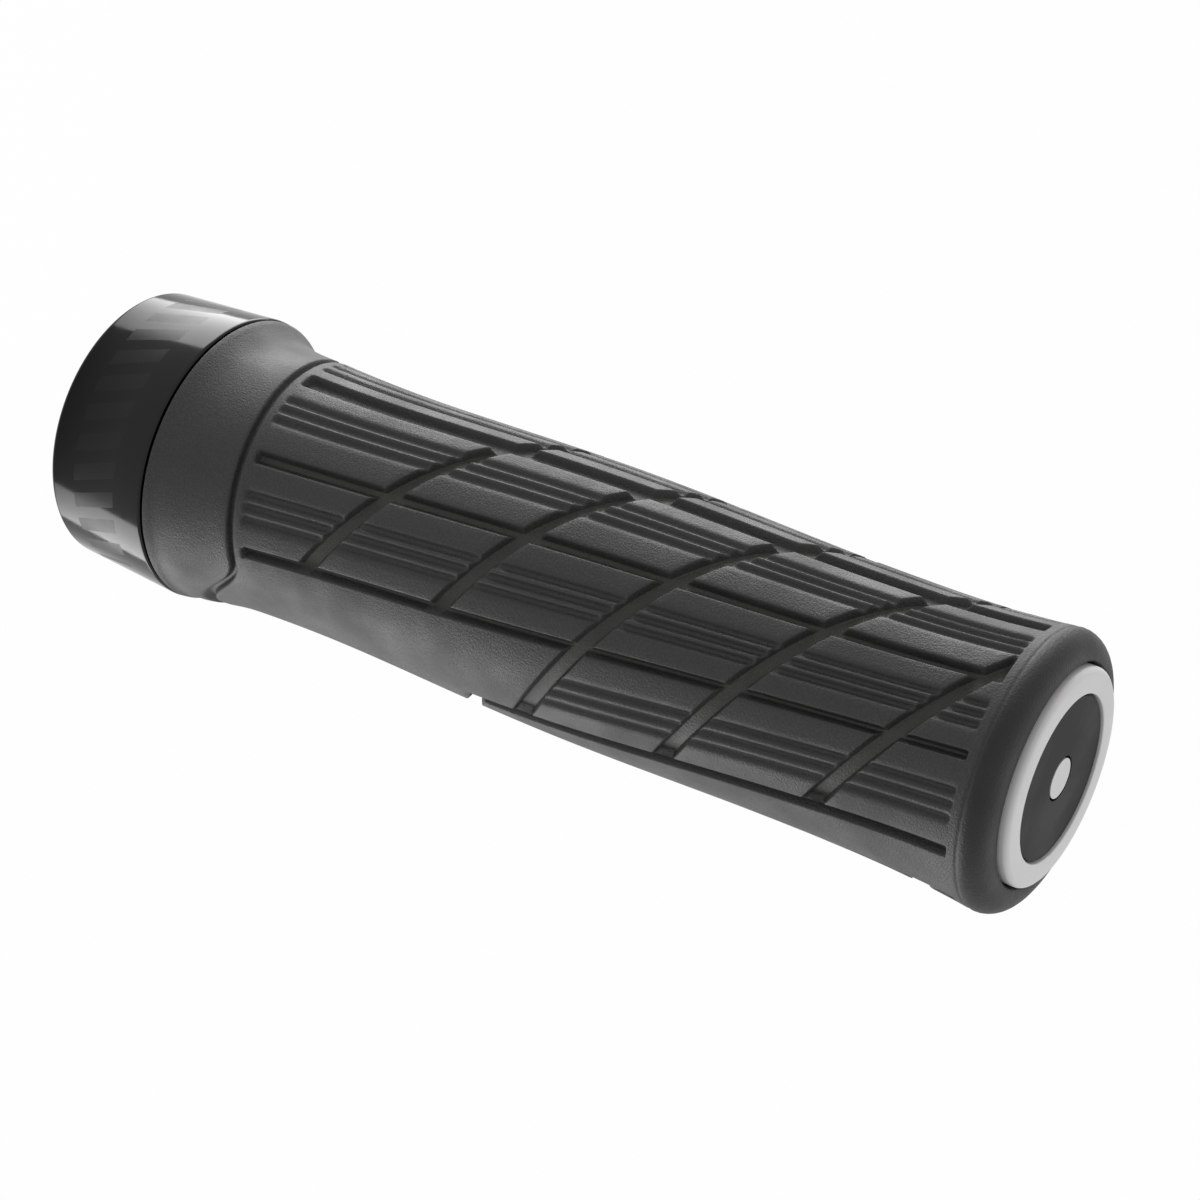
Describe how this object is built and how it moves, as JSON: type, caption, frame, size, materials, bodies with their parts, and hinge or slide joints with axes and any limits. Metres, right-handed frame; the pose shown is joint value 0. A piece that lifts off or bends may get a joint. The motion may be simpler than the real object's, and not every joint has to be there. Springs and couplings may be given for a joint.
{
  "type": "handlebar grip",
  "caption": "Lock-on handlebar grip: rubber body with channelled tread on a hard sleeve, split clamp ring at the inner end and a plug in the outer end.",
  "frame": {"origin": "centre of the clamp ring's flat inner face, on the bar's axis, at the base of the part as it stands on that end", "axes": "+Z along the handlebar towards its outer end; -Y is the side with the front of the tread, and the clamp's slit is near +X"},
  "size_m": [0.0366, 0.0366, 0.1314],
  "materials": {
    "grip_rubber": "matt moulded rubber with a fine grain",
    "black_nylon": "moulded, dull",
    "black_anodised": "gloss black anodised",
    "black_steel": "black oxide",
    "plug_nylon": "moulded, dull",
    "white_plastic": "moulded, satin"
  },
  "bodies": {
    "root": {"rubber_grip": "grip_rubber", "core_sleeve": "black_nylon", "clamp_ring": "black_anodised", "clamp_screw": "black_steel", "end_plug": "plug_nylon", "plug_ring": "white_plastic", "plug_inlay": "white_plastic"}
  },
  "joints": []
}
